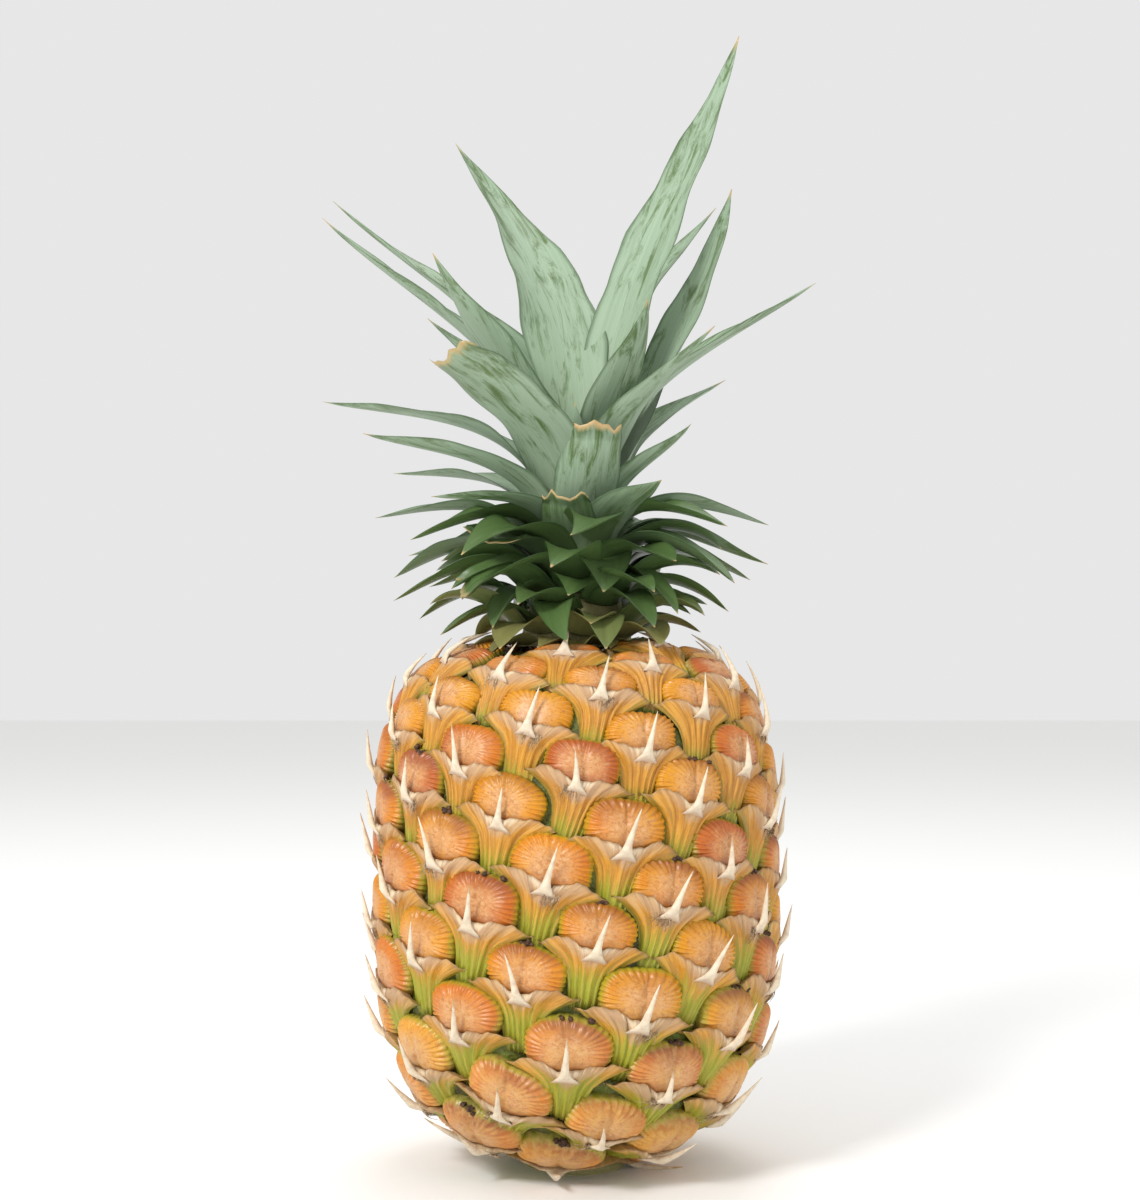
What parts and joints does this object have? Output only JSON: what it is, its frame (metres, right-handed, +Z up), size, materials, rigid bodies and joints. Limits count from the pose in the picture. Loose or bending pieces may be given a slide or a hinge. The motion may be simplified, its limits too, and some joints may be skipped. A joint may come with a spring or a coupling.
{
  "type": "pineapple",
  "caption": "Whole ripe pineapple standing upright: a barrel-shaped fruit covered in domed eyes, a short cut stalk beneath, and a crown of stiff pointed leaves.",
  "frame": {"origin": "centre of the cut face under the stalk, which the pineapple rests on", "axes": "+Z up through the crown; -Y is the side with the cut leaf stubs; +X to the right seen from that side"},
  "size_m": [0.1477, 0.1223, 0.3502],
  "materials": {
    "fruit": "waxy fruit skin, orange to yellow-green, covered in domed eyes",
    "cut_stalk": "dry fibrous cut stalk",
    "crown_stem": "fibrous stem, mostly hidden by leaf bases",
    "leaf_01": "waxy leaf, dark olive green",
    "leaf_02": "waxy leaf, dark olive green",
    "leaf_03": "waxy leaf, dark olive green",
    "leaf_04": "waxy leaf, dark olive green",
    "leaf_05": "waxy leaf, dark olive green",
    "leaf_06": "waxy leaf, dark olive green",
    "leaf_07": "waxy leaf, dark olive green",
    "leaf_08": "waxy leaf, dark olive green",
    "leaf_09": "waxy leaf, dark olive green",
    "leaf_10": "waxy leaf, dark olive green",
    "leaf_11": "waxy leaf, dark olive green",
    "leaf_12": "waxy leaf, dark olive green",
    "leaf_13": "waxy leaf, dark olive green",
    "leaf_14": "waxy leaf, dark olive green",
    "leaf_15": "waxy leaf, dark olive green",
    "leaf_16": "waxy leaf, dark olive green",
    "leaf_17": "waxy leaf, dark olive green",
    "leaf_18": "waxy leaf, dark olive green",
    "leaf_19": "waxy leaf, dark olive green",
    "leaf_20": "waxy leaf, dark olive green",
    "leaf_21": "waxy leaf, dark olive green",
    "leaf_22": "waxy leaf, dark olive green",
    "leaf_23": "waxy leaf, dark olive green",
    "leaf_24": "waxy leaf, dark olive green",
    "leaf_25": "waxy leaf, mid green",
    "leaf_26": "waxy leaf, mid green",
    "leaf_27": "waxy leaf, mid green",
    "leaf_28": "waxy leaf, mid green",
    "leaf_29": "waxy leaf, mid green",
    "leaf_30": "waxy leaf, mid green",
    "leaf_31": "waxy leaf, mid green",
    "leaf_32": "waxy leaf, mid green",
    "leaf_33": "waxy leaf, mid green",
    "leaf_34": "waxy leaf, mid green",
    "leaf_35": "waxy leaf, mid green",
    "leaf_36": "waxy leaf, mid green",
    "leaf_37": "waxy leaf with a pale grey-green bloom",
    "leaf_38": "waxy leaf with a pale grey-green bloom",
    "leaf_39": "waxy leaf with a pale grey-green bloom",
    "leaf_40": "waxy leaf with a pale grey-green bloom",
    "leaf_41": "waxy leaf with a pale grey-green bloom",
    "leaf_42": "waxy leaf with a pale grey-green bloom",
    "leaf_43": "waxy leaf with a pale grey-green bloom",
    "leaf_44": "waxy leaf with a pale grey-green bloom",
    "leaf_45": "waxy leaf with a pale grey-green bloom",
    "leaf_46": "waxy leaf with a pale grey-green bloom",
    "leaf_47": "waxy leaf with a pale grey-green bloom",
    "leaf_48": "waxy leaf with a pale grey-green bloom",
    "leaf_49": "waxy leaf with a pale grey-green bloom",
    "leaf_50": "waxy leaf with a pale grey-green bloom",
    "leaf_51": "waxy leaf with a pale grey-green bloom",
    "leaf_52": "waxy leaf with a pale grey-green bloom",
    "leaf_53": "waxy leaf with a pale grey-green bloom",
    "leaf_54": "waxy leaf with a pale grey-green bloom",
    "leaf_55": "waxy leaf with a pale grey-green bloom",
    "leaf_56": "waxy leaf with a pale grey-green bloom",
    "leaf_57": "waxy leaf with a pale grey-green bloom"
  },
  "bodies": {
    "root": {"fruit": "fruit", "cut_stalk": "cut_stalk", "crown_stem": "crown_stem", "leaf_01": "leaf_01", "leaf_02": "leaf_02", "leaf_03": "leaf_03", "leaf_04": "leaf_04", "leaf_05": "leaf_05", "leaf_06": "leaf_06", "leaf_07": "leaf_07", "leaf_08": "leaf_08", "leaf_09": "leaf_09", "leaf_10": "leaf_10", "leaf_11": "leaf_11", "leaf_12": "leaf_12", "leaf_13": "leaf_13", "leaf_14": "leaf_14", "leaf_15": "leaf_15", "leaf_16": "leaf_16", "leaf_17": "leaf_17", "leaf_18": "leaf_18", "leaf_19": "leaf_19", "leaf_20": "leaf_20", "leaf_21": "leaf_21", "leaf_22": "leaf_22", "leaf_23": "leaf_23", "leaf_24": "leaf_24", "leaf_25": "leaf_25", "leaf_26": "leaf_26", "leaf_27": "leaf_27", "leaf_28": "leaf_28", "leaf_29": "leaf_29", "leaf_30": "leaf_30", "leaf_31": "leaf_31", "leaf_32": "leaf_32", "leaf_33": "leaf_33", "leaf_34": "leaf_34", "leaf_35": "leaf_35", "leaf_36": "leaf_36", "leaf_37": "leaf_37", "leaf_38": "leaf_38", "leaf_39": "leaf_39", "leaf_40": "leaf_40", "leaf_41": "leaf_41", "leaf_42": "leaf_42", "leaf_43": "leaf_43", "leaf_44": "leaf_44", "leaf_45": "leaf_45", "leaf_46": "leaf_46", "leaf_47": "leaf_47", "leaf_48": "leaf_48", "leaf_49": "leaf_49", "leaf_50": "leaf_50", "leaf_51": "leaf_51", "leaf_52": "leaf_52", "leaf_53": "leaf_53", "leaf_54": "leaf_54", "leaf_55": "leaf_55", "leaf_56": "leaf_56", "leaf_57": "leaf_57"}
  },
  "joints": []
}
